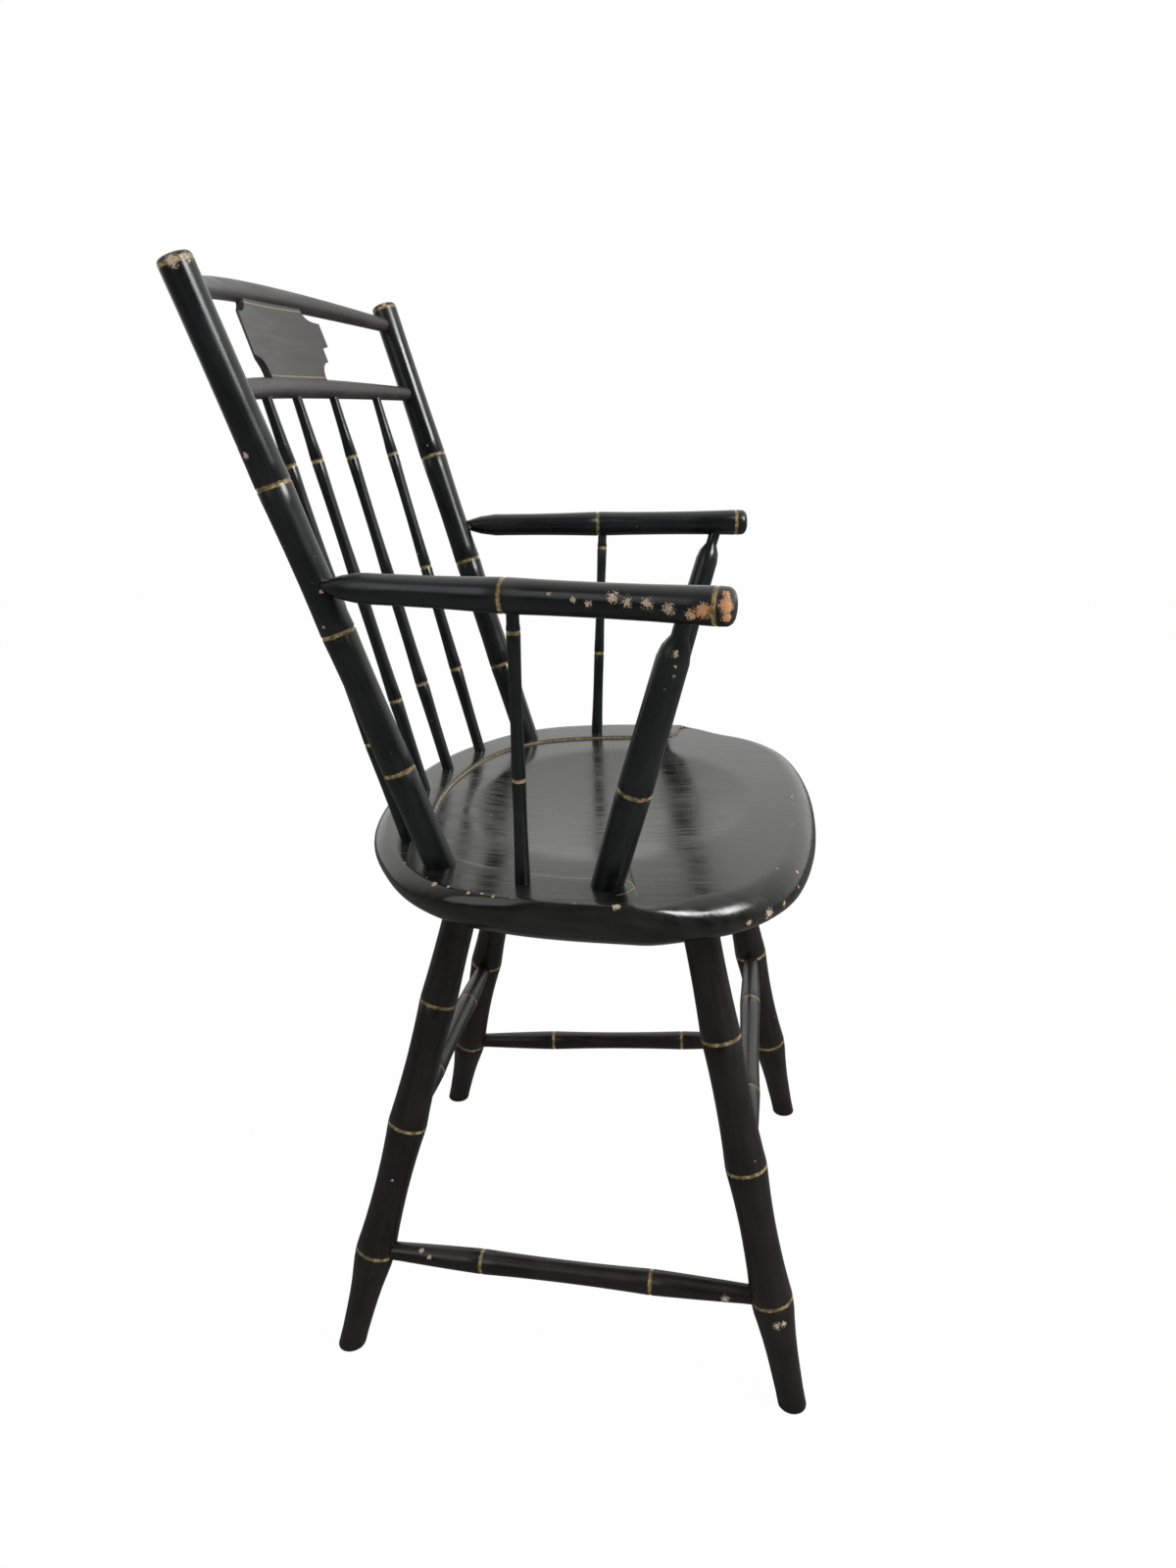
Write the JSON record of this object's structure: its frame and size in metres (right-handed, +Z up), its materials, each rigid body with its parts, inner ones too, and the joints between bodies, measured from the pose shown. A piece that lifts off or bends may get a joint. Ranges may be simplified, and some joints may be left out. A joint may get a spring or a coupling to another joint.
{
  "type": "painted birdcage windsor armchair",
  "caption": "Black-painted turned wooden armchair with a saddled plank seat, bamboo-ringed rods, a bowed double-rail back with a sawn medallion, and splayed legs joined by stretchers",
  "frame": {"origin": "on the floor, under the middle of the overall box", "axes": "+Z up, -Y is the front of the chair, +X is to the sitter's left"},
  "size_m": [0.5048, 0.458, 0.869],
  "materials": {
    "seat_paint": "worn semi-gloss black paint over wood, chipped along the arris, with a thin gilt gutter line",
    "leg_paint": "worn semi-gloss brownish black paint over turned wood, gilt rings",
    "frame_paint": "worn semi-gloss black paint over turned wood, gilt rings and small pale chips",
    "rail_paint": "rubbed black paint over bent wood, greyer than the rest",
    "pin_wood": "bare end grain showing through worn paint"
  },
  "bodies": {
    "root": {"seat": "seat_paint", "leg_front_left": "leg_paint", "leg_front_right": "leg_paint", "leg_rear_left": "leg_paint", "leg_rear_right": "leg_paint", "stretcher_front": "leg_paint", "stretcher_rear": "leg_paint", "stretcher_left": "leg_paint", "stretcher_right": "leg_paint", "back_post_left": "frame_paint", "back_post_right": "frame_paint", "arm_left": "frame_paint", "arm_right": "frame_paint", "arm_post_left": "frame_paint", "arm_post_right": "frame_paint", "arm_spindle_left": "frame_paint", "arm_spindle_right": "frame_paint", "back_spindle_1": "frame_paint", "back_spindle_2": "frame_paint", "back_spindle_3": "frame_paint", "back_spindle_4": "frame_paint", "back_spindle_5": "frame_paint", "lower_rail": "rail_paint", "crest_rail": "rail_paint", "crest_medallion": "rail_paint", "arm_pin_left": "pin_wood", "arm_pin_right": "pin_wood"}
  },
  "joints": []
}
